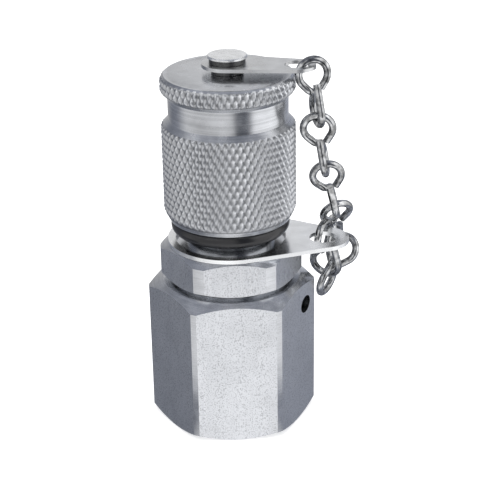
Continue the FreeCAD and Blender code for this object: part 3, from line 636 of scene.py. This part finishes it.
def paper_material():
    made = Shader("light_tent", grey(0.8), 0.0, 1.0)
    parts = made.nodes.new("ShaderNodeSeparateXYZ")
    made.link(made.place(), parts.inputs[0])
    from_front = made.math("MULTIPLY", parts.outputs["Y"], -1.0)
    angle = made.math("ARCTAN2", parts.outputs["X"], from_front)
    share = made.spread(angle, -math.pi, math.pi, 0.0, 1.0)
    reach = made.reach()
    foot, near, far = (made.ramp(share, [(at, paper(level)) for at, level in bands])
                       for bands in (TENT_FOOT, TENT_NEAR, TENT_FAR))
    shade = made.blend(made.spread(reach, *FOOT_TO_NEAR, 0.0, 1.0), foot, near)
    shade = made.blend(made.spread(reach, *NEAR_TO_FAR, 0.0, 1.0), shade, far)
    ceiling = made.nodes.new("ShaderNodeRGB")
    ceiling.outputs[0].default_value = (*paper(TENT_CEILING), 1.0)
    above = made.spread(parts.outputs["Z"], *WALL_TO_CEILING, 0.0, 1.0)
    shade = made.blend(above, shade, ceiling.outputs[0])
    glow = made.node("ShaderNodeEmission", Strength=1.0)
    made.link(shade, glow.inputs["Color"])
    made.link(glow.outputs[0], made.nodes["Material Output"].inputs["Surface"])
    return made.material


def add_tent():
    """Paper round the foot and the sides of the set, which only gloss sees."""
    rings = len(TENT_PROFILE)
    points = []
    faces = []
    for side in range(TENT_SIDES):
        angle = TURN * side / TENT_SIDES
        points += [(reach * math.cos(angle), reach * math.sin(angle), height)
                   for reach, height in TENT_PROFILE]
        after = (side + 1) % TENT_SIDES
        for ring in range(rings - 1):
            low, high = side * rings + ring, after * rings + ring
            faces.append((low, high, high + 1, low + 1))
    mesh = bpy.data.meshes.new("light_tent")
    mesh.from_pydata(points, [], faces)
    mesh.materials.append(paper_material())
    tent = add_object("light_tent", mesh)
    tent.visible_camera = False
    tent.visible_diffuse = False
    tent.visible_shadow = False
    tent.visible_transmission = False


# Name, place, width and power
LAMPS = [
    ("key_left", (-0.35, -0.35, 0.45), 0.35, 2.2),
    ("fill_right", (0.45, -0.2, 0.35), 0.3, 1.2),
    ("top", (0.05, 0.1, 0.6), 0.5, 2.0),
]


def add_lamp(name, at, width, power):
    data = bpy.data.lights.new(name, "AREA")
    data.shape = "RECTANGLE"
    data.size = data.size_y = width
    data.energy = power
    lamp = add_object(name, data)
    lamp.location = at
    lamp.rotation_euler = (TARGET - Vector(at)).to_track_quat("-Z", "Y").to_euler()


WORLD_LIGHT = 0.55
WORLD_SEEN = 1.0


def seen_directly(tree):
    """1 for rays from the camera and for those that mirrors and glass send on."""
    path = tree.nodes.new("ShaderNodeLightPath")
    total = path.outputs["Is Camera Ray"]
    for name in ("Is Glossy Ray", "Is Transmission Ray"):
        either = tree.nodes.new("ShaderNodeMath")
        either.operation = "MAXIMUM"
        tree.links.new(total, either.inputs[0])
        tree.links.new(path.outputs[name], either.inputs[1])
        total = either.outputs[0]
    return total


def add_world():
    world = bpy.data.worlds.new("studio")
    bpy.context.scene.world = world
    world.use_nodes = True
    tree = world.node_tree
    background = tree.nodes["Background"]
    background.inputs["Color"].default_value = (1, 1, 1, 1)
    level = tree.nodes.new("ShaderNodeMapRange")
    level.inputs["To Min"].default_value = WORLD_LIGHT
    level.inputs["To Max"].default_value = WORLD_SEEN
    tree.links.new(seen_directly(tree), level.inputs["Value"])
    tree.links.new(level.outputs["Result"], background.inputs["Strength"])


add_floor()
add_tent()
for lamp in LAMPS:
    add_lamp(*lamp)
add_world()


# Camera, set as the photograph was taken

PICTURE_PIXELS = 480.0
FOCAL_PIXELS = 1425.0
SENSOR_WIDTH = 36.0
CAMERA_DISTANCE = 0.212
CAMERA_PITCH = 24.0
CAMERA_ROLL = -1.2
CAMERA_SHIFT = (0.01875, 0.0127)
CAMERA_CLIP = (0.01, 20.0)


def add_camera():
    data = bpy.data.cameras.new("camera")
    data.sensor_width = SENSOR_WIDTH
    data.lens = FOCAL_PIXELS / PICTURE_PIXELS * SENSOR_WIDTH
    data.shift_x, data.shift_y = CAMERA_SHIFT
    data.clip_start, data.clip_end = CAMERA_CLIP
    data.dof.use_dof = False
    camera = add_object("camera", data)
    pitch = math.radians(CAMERA_PITCH)
    place = TARGET + Vector((0.0, -math.cos(pitch), math.sin(pitch))) * CAMERA_DISTANCE
    look = (TARGET - place).to_track_quat("-Z", "Y").to_matrix()
    roll = Matrix.Rotation(math.radians(CAMERA_ROLL), 3, "Z")
    camera.matrix_world = Matrix.Translation(place) @ (look @ roll).to_4x4()
    bpy.context.scene.camera = camera


add_camera()
bpy.context.scene.view_settings.view_transform = "Standard"
